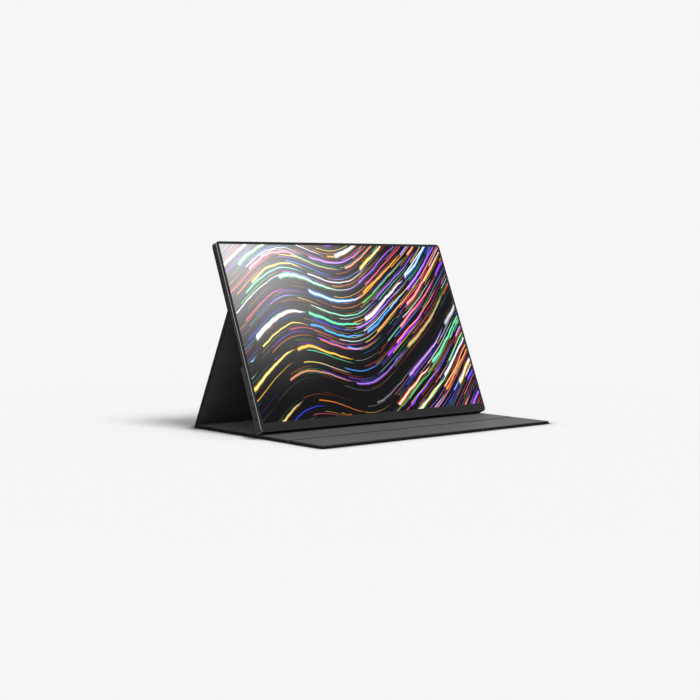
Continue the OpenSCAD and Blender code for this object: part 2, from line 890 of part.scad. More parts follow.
module magnet_blocks(y, low, high) {
    for (x = magnet_x) block([x - magnet_l / 2, x + magnet_l / 2],
        [y - magnet_w / 2, y + magnet_w / 2], [low, high]);
}

module magnet_holes(y) {
    magnet_blocks(y, skin_t - 1, board_top + 1);
}

module magnet_row(y) {
    magnet_blocks(y, skin_t, board_top);
}

cover_magnet_y = magnet_up - hinge_up;

module upper_board() {
    color([0.45, 0.42, 0.38]) in_upper() difference() {
        board_layer(upper_board_end, upper_len - edge_wall);
        magnet_holes(cover_magnet_y);
    }
}

module upper_lining() {
    color([0.2, 0.2, 0.2]) in_upper() {
        lining_layer(upper_lining_start, upper_len - hem_w);
        lining_fill(0, upper_board_end) upper_cuts(0);
    }
}

module cover_magnets() {
    color([0.7, 0.7, 0.72]) in_upper() magnet_row(cover_magnet_y);
}

module upper_fold() {
    color([0.1, 0.1, 0.1]) translate([0, fold_point[0], fold_point[1]]) fold_roll();
}

// Stand panel, between the foot fold and the upper fold.
module stand_cuts() {
    fold_cut(stand_angle, 0, fold_gap);
    at_end(stand_len, -1) fold_cut(0, upper_bend, fold_gap);
}

module stand_skin() {
    color([0.1, 0.1, 0.1]) in_stand() skin_layer(0, stand_len, 0, 0, false, false) stand_cuts();
}

module stand_board() {
    color([0.45, 0.42, 0.38]) in_stand()
        board_layer(foot_board_end, stand_len - stand_board_back);
}

module stand_lining() {
    color([0.2, 0.2, 0.2]) in_stand() {
        lining_layer(0, stand_len - lining_back) stand_cuts();
        lining_fill(0, foot_board_end) stand_cuts();
        lining_fill(stand_len - stand_board_back, stand_len) stand_cuts();
    }
}

// The part of the cover that lies on the desk: strips 2, 3 and 4 of the flap and the spine.
module floor_cuts() {
    at_end(groove_1, 1) fold_cut(strip_lift, 0, 0);
    at_end(foot_y, -1) fold_cut(stand_angle, 0, 0);
}

module floor_skin() {
    color([0.1, 0.1, 0.1]) skin_layer(groove_1, foot_y, 0, 0, false, false) floor_cuts();
}

module floor_board_2() {
    color([0.45, 0.42, 0.38]) board_layer(groove_1 + flap_board_end, groove_2 - board_gap);
}

module floor_board_3() {
    color([0.45, 0.42, 0.38]) board_layer(groove_2 + board_gap, groove_3 - board_gap);
}

module floor_board_4() {
    color([0.45, 0.42, 0.38]) board_layer(groove_3 + board_gap, groove_4 - board_gap);
}

module spine_board() {
    color([0.45, 0.42, 0.38]) board_layer(groove_4 + board_gap, foot_y - foot_board_end);
}

module floor_lining() {
    color([0.25, 0.25, 0.26]) {
        lining_layer(groove_1, foot_y) {
            floor_cuts();
            for (y = [groove_2, groove_3, groove_4]) groove(y);
        }
        for (y = [groove_2, groove_3, groove_4]) lining_fill(y - board_gap, y + board_gap);
        lining_fill(groove_1, groove_1 + flap_board_end) floor_cuts();
        lining_fill(foot_y - foot_board_end, foot_y) floor_cuts();
    }
}

module foot_fold() {
    color([0.1, 0.1, 0.1]) translate([0, foot_y, foot_z]) fold_roll();
}

module flap_fold() {
    color([0.1, 0.1, 0.1]) translate([0, groove_1, fold_r]) fold_roll();
}

// Front strip of the flap, which can be lifted about groove 1.
module front_cuts() {
    at_end(groove_1, -1) fold_cut(strip_lift, 0, fold_gap);
}

module front_skin() {
    color([0.1, 0.1, 0.1]) skin_layer(front_y, groove_1, flap_corner_r, 0, true, false) front_cuts();
}

flap_magnet_y = front_y + flap_magnet_in;

module front_board() {
    color([0.45, 0.42, 0.38]) difference() {
        board_layer(front_y + edge_wall, groove_1 - flap_board_end);
        magnet_holes(flap_magnet_y);
    }
}

module front_lining() {
    color([0.25, 0.25, 0.26]) {
        lining_layer(front_y + hem_w, groove_1) front_cuts();
        lining_fill(groove_1 - flap_board_end, groove_1) front_cuts();
    }
}

module flap_magnets() {
    color([0.7, 0.7, 0.72]) magnet_row(flap_magnet_y);
}

front_glass();
glass_tape();
front_frame();
lcd_panel();
optical_films();
light_guide();
reflector_sheet();
backlight_tray();
led_strip();
rear_panel();
lower_housing();
monitor_magnets();
main_board();
board_chips();
chip_shield();
panel_board();
panel_flex();
board_cable();
usb_socket_lower();
usb_socket_upper();
hdmi_socket();
audio_socket();
speaker_left();
speaker_right();
button_board();
button_switches();
button_1();
button_2();
button_3();
status_light();
board_screws();
upper_skin();
upper_board();
upper_lining();
cover_magnets();
upper_fold();
stand_skin();
stand_board();
stand_lining();
floor_skin();
floor_board_2();
floor_board_3();
floor_board_4();
spine_board();
floor_lining();
foot_fold();
flap_fold();
front_skin();
front_board();
front_lining();
flap_magnets();
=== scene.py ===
# Looks of the portable monitor with its folding cover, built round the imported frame.
import json
import math

import bmesh
import bpy
from mathutils import Matrix, Vector

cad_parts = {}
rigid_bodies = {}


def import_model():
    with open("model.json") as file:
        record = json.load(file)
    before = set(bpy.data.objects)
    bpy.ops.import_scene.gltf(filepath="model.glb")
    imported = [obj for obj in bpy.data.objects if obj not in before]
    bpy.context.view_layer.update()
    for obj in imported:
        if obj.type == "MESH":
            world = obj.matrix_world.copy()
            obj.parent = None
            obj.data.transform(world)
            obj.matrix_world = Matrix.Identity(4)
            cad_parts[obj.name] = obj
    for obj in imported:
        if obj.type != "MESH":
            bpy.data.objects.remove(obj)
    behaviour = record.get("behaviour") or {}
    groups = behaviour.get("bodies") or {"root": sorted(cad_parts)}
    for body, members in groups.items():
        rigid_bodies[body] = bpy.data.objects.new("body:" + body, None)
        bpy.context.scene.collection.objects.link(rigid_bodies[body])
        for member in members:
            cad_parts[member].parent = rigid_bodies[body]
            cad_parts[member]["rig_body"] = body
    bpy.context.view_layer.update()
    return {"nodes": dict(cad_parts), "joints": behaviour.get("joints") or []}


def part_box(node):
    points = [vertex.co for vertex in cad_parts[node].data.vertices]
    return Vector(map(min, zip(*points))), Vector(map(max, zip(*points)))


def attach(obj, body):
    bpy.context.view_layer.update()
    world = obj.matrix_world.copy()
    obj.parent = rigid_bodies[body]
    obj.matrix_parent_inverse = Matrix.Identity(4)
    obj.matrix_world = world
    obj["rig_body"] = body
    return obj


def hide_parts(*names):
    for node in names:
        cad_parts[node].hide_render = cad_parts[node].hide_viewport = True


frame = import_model()

MM = 0.001
NODES = frame["nodes"]
JOINTS = {joint["name"]: joint for joint in frame["joints"]}

# Camera, fitted to the edges of the object in the photo. Pixels are those of a 700 by 700 frame.
FRAME_PX = 700
FOCAL_PX = 1319.2
SENSOR = 36
CAMERA_AT = Vector((-1.0291, -1.1813, 0.1893))
CAMERA_YAW = math.radians(39.986)
CAMERA_PITCH = math.radians(3.625)
CAMERA_ROLL = math.radians(0.072)
CLIP_NEAR = 0.05
CLIP_FAR = 50

# Sizes of the display, those of the part's source.
SCREEN_W = 344.7 * MM
SCREEN_H = 215.4 * MM
BEZEL_BOTTOM = 10.7 * MM
BEZEL_TOP = 3.6 * MM
CASING_CORNER = 5 * MM
GLASS_INSET = 0.75 * MM
GLASS_T = 0.6 * MM
CHAMFER = 0.5 * MM
HOUSING_H = 79.6 * MM

# The glass in two pieces: the round corner of the lit area, and the steps of each round corner.
LIT_CORNER = 0.15 * MM
CORNER_STEPS = 12

# Roundings that the solids leave out, and the depths behind the glass where the casing has them.
SKIN_ROUND = 0.85 * MM
LINING_ROUND = 0.2 * MM
FRAME_ROUND = 0.08 * MM
PANEL_ROUND = 0.25 * MM
HOUSING_ROUND = 0.5 * MM
CAP_ROUND = 0.45 * MM
FRAME_DEPTHS = (0.4 * MM, 0.55 * MM)
PANEL_DEPTHS = (4.2 * MM, 6 * MM)
HOUSING_DEPTHS = (9.3 * MM, 11 * MM)

# Degrees between two faces: over the first an edge is rounded, over the second it breaks the smooth
# shading, and under the third both are one flat face.
ROUNDED_OVER = 25
CREASED_OVER = 40
FLAT_UNDER = 1

# Distances that count as none: between points that are welded, along one depth, to a known place,
# and from the outline of the housing to its round edge.
WELD = 0.002 * MM
LEVEL = 0.02 * MM
CLOSE = 0.1 * MM
OUTLINE_MARGIN = 1.2 * MM

# How much of one way another way holds, where both count as the same or as square to each other.
ALONG = 0.99
ACROSS = 0.01

# How much of a panel's inward way the faces of its black edges hold, at least and at most. On the linings
# these are the side and groove walls, whose black is painted shade.
SKIN_EDGE = (-0.97, 0.2)
LINING_EDGE = (-0.8, 0.8)

# Up to 100: how strongly a large flat face keeps its own shading beside small rounded ones.
FACE_WEIGHT = 100

# Leather with a painted sheen on its turned hem and a painted highlight on its rim, and the casing's metal
# with a painted highlight on its round corners and a bright cut chamfer that is partly a painted highlight.
LEATHER_GRAIN = 0.8 * MM
LEATHER_DEPTH = 0.07 * MM
LEATHER_ROUGH = 0.5
LEATHER_DARK = (0.006, 0.006, 0.007)
LEATHER_LIGHT = (0.019, 0.019, 0.021)
HEM_SHEEN_DARK = (0.022, 0.022, 0.024)
HEM_SHEEN_LIGHT = (0.046, 0.046, 0.049)
RIM_HIGHLIGHT = (0.11, 0.11, 0.115)
CORNER_HIGHLIGHT = (0.22, 0.22, 0.23)
CUT_METAL_AND_HIGHLIGHT = (0.27, 0.27, 0.28)


def monitor_frame():
    """Lower front edge of the casing at x = 0, the way up the screen and the way into its depth."""
    pull = Vector(JOINTS["monitor_lift_off"]["axis"]).normalized()
    up = Vector((0, pull.z, -pull.y))
    depth = -pull
    corner = min((v.co for v in NODES["front_glass"].data.vertices), key=lambda co: co.y)
    base = Vector((0, corner.y, corner.z)) - up * GLASS_INSET
    return base, up, depth


BASE, UP, DEPTH = monitor_frame()


class Graph:
    """Short names for building a material's nodes. A value may be a number or another socket."""

    def __init__(self, name):
        self.material = bpy.data.materials.new(name)
        self.material.use_nodes = True
        self.tree = self.material.node_tree
        self.shader = self.tree.nodes["Principled BSDF"]
        self.output = self.tree.nodes["Material Output"]

    def node(self, kind, **settings):
        made = self.tree.nodes.new(kind)
        for key, value in settings.items():
            setattr(made, key, value)
        return made

    def put(self, socket, value):
        if isinstance(value, bpy.types.NodeSocket):
            self.tree.links.new(value, socket)
        elif socket.type == "RGBA":
            socket.default_value = (*value, 1)
        else:
            socket.default_value = value

    def math(self, operation, *values, clamp=False):
        made = self.node("ShaderNodeMath", operation=operation, use_clamp=clamp)
        for socket, value in zip(made.inputs, values):
            self.put(socket, value)
        return made.outputs[0]

    def vector(self, operation, *values):
        made = self.node("ShaderNodeVectorMath", operation=operation)
        for socket, value in zip(made.inputs, values):
            self.put(socket, value)
        return made.outputs["Value" if operation in ("DOT_PRODUCT", "LENGTH") else "Vector"]

    def combine(self, x, y, z=0.0):
        made = self.node("ShaderNodeCombineXYZ")
        for socket, value in zip(made.inputs, (x, y, z)):
            self.put(socket, value)
        return made.outputs[0]

    def scaled(self, colour, factor):
        return self.vector("MULTIPLY", colour, self.combine(factor, factor, factor))

    def place(self):
        return self.node("ShaderNodeTexCoord").outputs["Object"]

    def facing(self):
        return self.node("ShaderNodeTexCoord").outputs["Normal"]

    def total(self, *values):
        added = values[0]
        for value in values[1:]:
            added = self.math("ADD", added, value)
        return added

    def times(self, *values):
        product = values[0]
        for value in values[1:]:
            product = self.math("MULTIPLY", product, value)
        return product

    def noise(self, where, size, detail, roughness, colour=False):
        made = self.node("ShaderNodeTexNoise")
        self.put(made.inputs["Vector"], where)
        made.inputs["Scale"].default_value = 1 / size
        made.inputs["Detail"].default_value = detail
        made.inputs["Roughness"].default_value = roughness
        return made.outputs["Color" if colour else "Fac"]

    def cells(self, where, size, feature="F1"):
        made = self.node("ShaderNodeTexVoronoi", feature=feature)
        self.put(made.inputs["Vector"], where)
        made.inputs["Scale"].default_value = 1 / size
        return made.outputs["Distance"]

    def random(self, where):
        made = self.node("ShaderNodeTexWhiteNoise", noise_dimensions="3D")
        self.put(made.inputs["Vector"], where)
        return made.outputs["Value"]

    def between(self, value, low, high, to_low=0.0, to_high=1.0):
        made = self.node("ShaderNodeMapRange", interpolation_type="SMOOTHSTEP")
        for socket, number in zip(made.inputs, (value, low, high, to_low, to_high)):
            self.put(socket, number)
        return made.outputs[0]

    def mix(self, share, first, second):
        """Mixes two colours, which are sockets 6 and 7 of a mix node. Its output 2 is their mix."""
        made = self.node("ShaderNodeMix", data_type="RGBA")
        self.put(made.inputs[0], share)
        self.put(made.inputs[6], first)
        self.put(made.inputs[7], second)
        return made.outputs[2]

    def steps(self, value, colours):
        made = self.node("ShaderNodeValToRGB")
        made.color_ramp.interpolation = "CONSTANT"
        while len(made.color_ramp.elements) < len(colours):
            made.color_ramp.elements.new(0.5)
        for k, colour in enumerate(colours):
            made.color_ramp.elements[k].position = k / len(colours)
            made.color_ramp.elements[k].color = (*colour, 1)
        self.put(made.inputs[0], value)
        return made.outputs[0]

    def bump(self, height, depth, strength):
        made = self.node("ShaderNodeBump")
        made.inputs["Strength"].default_value = strength
        made.inputs["Distance"].default_value = depth
        self.put(made.inputs["Height"], height)
        return made.outputs[0]

    def finish(self, **sockets):
        for name, value in sockets.items():
            self.put(self.shader.inputs[name.replace("_", " ")], value)
        return self.material


def leather(name, hem=None):
    """Synthetic leather with small pebbles, with a painted highlight on its rim and a painted sheen where
    it faces the way of its hem.
    """
    g = Graph(name)
    where = g.place()
    stir = g.noise(where, LEATHER_GRAIN * 3, 2, 0.6, colour=True)
    stirred = g.vector("ADD", where, g.vector("MULTIPLY", stir, (LEATHER_GRAIN * 0.8,) * 3))
    pebble = g.between(g.cells(stirred, LEATHER_GRAIN, "DISTANCE_TO_EDGE"), 0.0, 0.28)
    pores = g.noise(where, LEATHER_GRAIN * 0.3, 3, 0.6)
    cloud = g.noise(where, 45 * MM, 3, 0.55)
    height = g.total(g.times(pebble, 0.7), g.times(pores, 0.3))
    tone = g.total(g.times(pebble, 0.55), g.times(cloud, 0.45))
    worn = g.total(g.times(cloud, 0.16), g.times(pebble, -0.10), LEATHER_ROUGH)
    colour = g.mix(tone, LEATHER_DARK, LEATHER_LIGHT)
    if hem:
        flat = g.vector("DOT_PRODUCT", g.facing(), tuple(hem))
        # Painted highlight on the rounded rim and painted sheen on the hem.
        colour = g.mix(g.between(flat, 0.2, 0.45), colour, RIM_HIGHLIGHT)
        colour = g.mix(g.between(flat, 0.85, 0.97), colour, g.mix(tone, HEM_SHEEN_DARK, HEM_SHEEN_LIGHT))
    return g.finish(Base_Color=colour, Roughness=worn, Normal=g.bump(height, LEATHER_DEPTH, 0.8),
                    Specular_IOR_Level=0.3)


def black_edges_and_groove_shade(name):
    """Black edge paint on the cut or turned edges of the leather, with a little of the grain; on the
    linings' side and groove walls the same black is painted shade.
    """
    g = Graph(name)
    where = g.place()
    grain = g.cells(where, 0.7 * MM)
    fine = g.noise(where, 0.5 * MM, 3, 0.6)
    return g.finish(Base_Color=g.mix(fine, (0.003, 0.003, 0.003), (0.010, 0.010, 0.011)),
                    Roughness=g.between(fine, 0.3, 0.7, 0.6, 0.7), Specular_IOR_Level=0.1,
                    Normal=g.bump(g.total(grain, g.times(fine, 0.5)), 0.04 * MM, 0.6))


def suede(name, dark, light):
    """Microfibre: short fibres that lie in soft strokes, with a dusty sheen at a low angle."""
    g = Graph(name)
    where = g.place()
    fibres = g.noise(g.vector("MULTIPLY", where, (1.0, 0.45, 1.0)), 0.7 * MM, 3, 0.7)
    nap = g.noise(where, 3.2 * MM, 3, 0.6)
    strokes = g.noise(g.vector("MULTIPLY", where, (0.35, 1.0, 1.0)), 38 * MM, 2, 0.5)
    tone = g.total(g.times(fibres, 0.5), g.times(nap, 0.25), g.times(strokes, 0.25))
    height = g.total(g.times(fibres, 0.7), g.times(nap, 0.3))
    return g.finish(Base_Color=g.mix(g.between(tone, 0.32, 0.68), dark, light),
                    Roughness=g.between(strokes, 0.3, 0.7, 0.52, 0.62),
                    Normal=g.bump(height, 0.16 * MM, 0.6),
                    Sheen_Weight=0.32, Sheen_Roughness=0.4, Specular_IOR_Level=0.25)


def corner_highlight_share(g):
    """Share of the painted highlight on the round corners of the casing, strongest half way round, in
    patches.
    """
    normal = g.facing()
    side = g.math("ABSOLUTE", g.vector("DOT_PRODUCT", normal, (1, 0, 0)))
    end = g.math("ABSOLUTE", g.vector("DOT_PRODUCT", normal, tuple(UP)))
    patchy = g.noise(g.place(), 6 * MM, 3, 0.6)
    return g.times(g.between(g.times(side, end), 0.34, 0.49), g.between(patchy, 0.25, 0.6, 0.55, 1.0))


def moulded(name, dark, light, rough=0.55, grain=0.5 * MM, depth=0.02 * MM, corner_highlight=None, gloss=0.5):
    """Moulded plastic with a fine spark-eroded grain, with a painted highlight on its round corners when
    one is given.
    """
    g = Graph(name)
    where = g.place()
    fine = g.noise(where, grain, 3, 0.6)
    cloud = g.noise(where, 60 * MM, 2, 0.5)
    colour = g.mix(g.total(g.times(fine, 0.6), g.times(cloud, 0.4)), dark, light)
    shine = g.between(cloud, 0.3, 0.7, rough - 0.05, rough + 0.05)
    if corner_highlight:
        # Painted highlight on the round corners.
        share = corner_highlight_share(g)
        colour = g.mix(share, colour, corner_highlight)
        shine = g.total(shine, g.times(share, -0.15))
    return g.finish(Base_Color=colour, Roughness=shine, Normal=g.bump(fine, depth, 0.6),
                    Specular_IOR_Level=gloss)


def button_plastic(name):
    """Black cap with a dished face. Its rim on the rear side is painted bright metal as a highlight, and
    its sides are painted near black as shade.
    """
    g = Graph(name)
    where = g.place()
    normal = g.facing()
    fine = g.noise(where, 0.3 * MM, 3, 0.6)
    outward = g.math("ABSOLUTE", g.vector("DOT_PRODUCT", normal, (1, 0, 0)))
    rearward = g.vector("DOT_PRODUCT", normal, tuple(DEPTH))
    # Painted highlight on the rear side of the rim.
    rim_highlight = g.between(rearward, 0.15, 0.6)
    dish = g.mix(fine, (0.010,) * 3, (0.022,) * 3)
    # The cap's sides are painted near black as shade.
    face = g.mix(g.between(outward, 0.4, 0.95), (0.003,) * 3, dish)
    return g.finish(Base_Color=g.mix(rim_highlight, face, (0.42, 0.42, 0.43)), Metallic=rim_highlight,
                    Roughness=g.between(fine, 0.2, 0.8, 0.28, 0.36), Normal=g.bump(fine, 0.006 * MM, 0.4),
                    Specular_IOR_Level=0.2)


def metal(name, dark, light, rough, stretch=(1.0, 1.0, 1.0)):
    """Bare or plated metal with a fine grain, drawn out along one way where it is brushed."""
    g = Graph(name)
    where = g.place()
    fine = g.noise(g.vector("MULTIPLY", where, stretch), 0.4 * MM, 3, 0.6)
    cloud = g.noise(where, 30 * MM, 2, 0.5)
    colour = g.mix(g.total(g.times(fine, 0.5), g.times(cloud, 0.5)), dark, light)
    return g.finish(Base_Color=colour, Metallic=1.0, Normal=g.bump(fine, 0.006 * MM, 0.5),
                    Roughness=g.between(fine, 0.2, 0.8, rough - 0.06, rough + 0.08))


def anodised(name):
    """Black blasted metal with a bright cut chamfer down both sides, partly polished metal and partly a
    painted highlight, and a painted highlight on its round corners.
    """
    g = Graph(name)
    where = g.place()
    inward = g.vector("DOT_PRODUCT", g.vector("SUBTRACT", where, tuple(BASE)), tuple(DEPTH))
    sideways = g.math("ABSOLUTE", g.vector("DOT_PRODUCT", g.facing(), (1, 0, 0)))
    # Only the side chamfers: polished metal, painted brighter as a highlight too.
    cut = g.times(g.math("LESS_THAN", inward, CHAMFER * 0.98), g.between(sideways, 0.3, 0.6))
    fine = g.noise(where, 0.35 * MM, 3, 0.6)
    cloud = g.noise(where, 70 * MM, 2, 0.5)
    tone = g.total(g.times(fine, 0.5), g.times(cloud, 0.5))
    body = g.mix(tone, (0.016, 0.016, 0.017), (0.030, 0.030, 0.032))
    # Painted highlight on the round corners of the casing.
    body = g.mix(corner_highlight_share(g), body, CORNER_HIGHLIGHT)
    rough = g.total(g.times(cut, -0.2), g.between(fine, 0.2, 0.8, 0.42, 0.5))
    return g.finish(Base_Color=g.mix(cut, body, CUT_METAL_AND_HIGHLIGHT), Metallic=0.9, Roughness=rough,
                    Normal=g.bump(fine, 0.005 * MM, 0.3))


def circuit(name):
    """Green circuit board: copper tracks show through the lacquer, with tinned pads on a grid."""
    g = Graph(name)
    where = g.place()
    turned = g.vector("MULTIPLY", where, (1.0, 0.35, 1.0))
    tracks = g.between(g.cells(turned, 2.6 * MM, "DISTANCE_TO_EDGE"), 0.05, 0.09)
    pads = g.between(g.cells(where, 1.7 * MM), 0.16, 0.20)
    weave = g.noise(where, 0.3 * MM, 2, 0.5)
    lacquer = g.mix(weave, (0.004, 0.050, 0.020), (0.008, 0.085, 0.034))
    shown = g.mix(tracks, (0.02, 0.15, 0.055), lacquer)
    colour = g.mix(pads, (0.55, 0.52, 0.45), shown)
    bare = g.math("SUBTRACT", 1.0, pads)
    return g.finish(Base_Color=colour, Metallic=bare, Roughness=g.total(0.28, g.times(weave, 0.15)),
                    Normal=g.bump(g.total(g.times(tracks, -0.5), g.times(bare, 0.5)), 0.03 * MM, 0.7))


def flexible(name, along):
    """Amber film with fine copper conductors; along is the direction across the conductors."""
    g = Graph(name)
    where = g.place()
    across = g.math("DIVIDE", g.vector("DOT_PRODUCT", where, along), 0.5 * MM)
    stripe = g.between(g.math("PINGPONG", across, 0.5), 0.2, 0.3)
    cloud = g.noise(where, 5 * MM, 3, 0.6)
    film = g.mix(cloud, (0.20, 0.085, 0.012), (0.32, 0.14, 0.02))
    colour = g.mix(stripe, film, (0.42, 0.17, 0.05))
    return g.finish(Base_Color=colour, Metallic=g.times(stripe, 0.5),
                    Roughness=g.total(0.3, g.times(cloud, 0.15)), Normal=g.bump(stripe, 0.02 * MM, 0.6))


def sheet_film(name, dark, light, rough):
    """Plastic film of the backlight, with faint waves and a dotted face."""
    g = Graph(name)
    where = g.place()
    dots = g.between(g.cells(where, 1.1 * MM), 0.22, 0.34)
    waves = g.noise(where, 35 * MM, 2, 0.5)
    colour = g.mix(g.total(g.times(dots, 0.5), g.times(waves, 0.5)), dark, light)
    return g.finish(Base_Color=colour, Roughness=g.total(rough, g.times(waves, 0.1)),
                    Normal=g.bump(g.total(g.times(dots, 0.3), waves), 0.02 * MM, 0.5))


def light_strip(name):
    """White strip of a backlight with small yellow light chips in a row."""
    g = Graph(name)
    where = g.place()
    along = g.math("DIVIDE", g.vector("DOT_PRODUCT", where, (1, 0, 0)), 6 * MM)
    chip = g.math("LESS_THAN", g.math("PINGPONG", along, 0.5), 0.26)
    fine = g.noise(where, 0.4 * MM, 2, 0.5)
    board = g.mix(fine, (0.62, 0.62, 0.60), (0.75, 0.75, 0.73))
    return g.finish(Base_Color=g.mix(chip, board, (0.85, 0.62, 0.10)),
                    Roughness=g.total(0.35, g.times(fine, 0.2)),
                    Normal=g.bump(g.total(chip, g.times(fine, 0.1)), 0.05 * MM, 0.6))


def board_stock(name):
    """Grey stiffening board with pressed fibres."""
    g = Graph(name)
    where = g.place()
    fibres = g.noise(g.vector("MULTIPLY", where, (0.3, 1.0, 1.0)), 1.4 * MM, 4, 0.65)
    flecks = g.between(g.cells(where, 2.2 * MM), 0.05, 0.12)
    colour = g.mix(fibres, (0.16, 0.155, 0.145), (0.27, 0.26, 0.24))
    colour = g.mix(flecks, (0.09, 0.085, 0.08), colour)
    return g.finish(Base_Color=colour, Roughness=0.9, Normal=g.bump(fibres, 0.08 * MM, 0.6),
                    Specular_IOR_Level=0.2)


def place_camera():
    data = bpy.data.cameras.new("camera")
    data.sensor_width = SENSOR
    data.lens = SENSOR * FOCAL_PX / FRAME_PX
    data.clip_start = CLIP_NEAR
    data.clip_end = CLIP_FAR
    ahead = Vector((math.sin(CAMERA_YAW) * math.cos(CAMERA_PITCH),
                    math.cos(CAMERA_YAW) * math.cos(CAMERA_PITCH), -math.sin(CAMERA_PITCH)))
    level = Vector((math.cos(CAMERA_YAW), -math.sin(CAMERA_YAW), 0))
    above = level.cross(ahead)
    right = level * math.cos(CAMERA_ROLL) + above * math.sin(CAMERA_ROLL)
    up = -level * math.sin(CAMERA_ROLL) + above * math.cos(CAMERA_ROLL)
    camera = bpy.data.objects.new("camera", data)
    camera.matrix_world = Matrix.Translation(CAMERA_AT) @ Matrix((right, up, -ahead)).transposed().to_4x4()
    bpy.context.scene.collection.objects.link(camera)
    bpy.context.scene.camera = camera


place_camera()


def paint(material, *names):
    for name in names:
        slots = NODES[name].data.materials
        slots.clear()
        slots.append(material)


def in_casing(point):
    """A point's place across the casing, up its front and into its depth."""
    away = point - BASE
    return away.x, away.dot(UP), away.dot(DEPTH)


def lining_way(node):
    """The way that a panel's lining side faces, from the largest face of its skin."""
    widest = max(NODES[node].data.polygons, key=lambda face: face.area)
    return -widest.normal


def rim_edge(edge, normal, middle):
    """True for an edge between a flat face of a panel and the outer side of its skin."""
    flat, side = sorted(edge.link_faces, key=lambda face: -abs(face.normal.dot(normal)))
    away = (edge.verts[0].co + edge.verts[1].co) / 2 - middle
    upright = abs(side.normal.dot(normal)) < ACROSS
    return abs(flat.normal.dot(normal)) > ALONG and upright and side.normal.dot(away) > 0


def softened(node, radius, material, segments=3, pick=None):
    """A copy of a CAD node with rounded edges, which stands for it and rides on its body."""
    source = NODES[node]
    mesh = source.data.copy()
    form = bmesh.new()
    form.from_mesh(mesh)
    bmesh.ops.remove_doubles(form, verts=form.verts, dist=WELD)
    bmesh.ops.dissolve_limit(form, angle_limit=math.radians(FLAT_UNDER), verts=form.verts, edges=form.edges)
    edges = [e for e in form.edges if e.is_manifold and e.calc_face_angle(0) > math.radians(ROUNDED_OVER)]
    if pick:
        edges = [e for e in edges if pick(e)]
    bmesh.ops.bevel(form, geom=edges, offset=radius, offset_type="OFFSET", segments=segments,
                    profile=0.5, affect="EDGES", clamp_overlap=True)
    form.to_mesh(mesh)
    form.free()
    piece = bpy.data.objects.new(node + "_soft", mesh)
    bpy.context.scene.collection.objects.link(piece)
    for face in mesh.polygons:
        face.use_smooth = True
    mesh.set_sharp_from_angle(angle=math.radians(CREASED_OVER))
    even = piece.modifiers.new("even_shading", "WEIGHTED_NORMAL")
    even.keep_sharp = True
    even.weight = FACE_WEIGHT
    mesh.materials.clear()
    mesh.materials.append(material)
    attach(piece, source["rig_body"])
    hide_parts(node)
    return piece


BUTTONS = ("button_1", "button_2", "button_3")
HALF_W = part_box("lower_housing")[1].x
CAP_FACE = min(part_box(name)[0].x for name in BUTTONS)


def level_edge(edge, span):
    """True for an edge at one depth of the casing that lies in a span of depths."""
    near, far = (in_casing(vertex.co)[2] for vertex in edge.verts)
    return abs(near - far) < LEVEL and span[0] < near < span[1]


def on_outline(edge):
    """True for an edge close to the outline of the lower housing, with its two round corners."""
    for vertex in edge.verts:
        x, up, _ = in_casing(vertex.co)
        dx = max(abs(x) - (HALF_W - CASING_CORNER), 0)
        dz = max(CASING_CORNER - up, 0)
        into = min(HALF_W - abs(x), up, HOUSING_H - up)
        if dx > 0 and dz > 0:
            into = CASING_CORNER - math.hypot(dx, dz)
        if into > OUTLINE_MARGIN:
            return False
    return True


def housing_edge(edge):
    """The outer edges of the lower housing: its rear outline and the ends of its step."""
    ends = [in_casing(vertex.co) for vertex in edge.verts]
    step = all(abs(up - HOUSING_H) < CLOSE and HALF_W - abs(x) < CLOSE for x, up, _ in ends)
    return step or (level_edge(edge, HOUSING_DEPTHS) and on_outline(edge))


def cap_edge(edge):
    """The rim of a side button's outer face."""
    return all(vertex.co.x < CAP_FACE + CLOSE for vertex in edge.verts)


def edged(piece, way, span, material):
    """Gives the faces whose own way holds a span of shares of another way the material of the edges."""
    piece.data.materials.append(material)
    for face in piece.data.polygons:
        if span[0] < face.normal.dot(way) < span[1]:
            face.material_index = 1


EDGE_PAINT_AND_SHADE = black_edges_and_groove_shade("edge_paint_and_groove_shade")
# The stand's and upper panel's lining is a lighter copy of the same suede, painted lighter as light for its
# shaded side.
INNER_SUEDE_LIGHTENED = suede("suede_inner_lightened", (0.024, 0.024, 0.025), (0.086, 0.086, 0.091))
FLAT_SUEDE = suede("suede_flat", (0.012, 0.012, 0.013), (0.042, 0.042, 0.045))
CASING = anodised("casing_metal")
PLASTIC = moulded("casing_plastic", (0.010, 0.010, 0.011), (0.020, 0.020, 0.022), 0.42, corner_highlight=CORNER_HIGHLIGHT,
                  gloss=0.22)
STOCK = board_stock("cover_board")
NICKEL = metal("magnet", (0.50, 0.49, 0.46), (0.66, 0.65, 0.62), 0.25)
TINNED = metal("tin", (0.55, 0.55, 0.53), (0.68, 0.68, 0.66), 0.32)
STEEL = metal("sheet_steel", (0.42, 0.42, 0.42), (0.55, 0.55, 0.56), 0.38, (0.1, 1.0, 1.0))

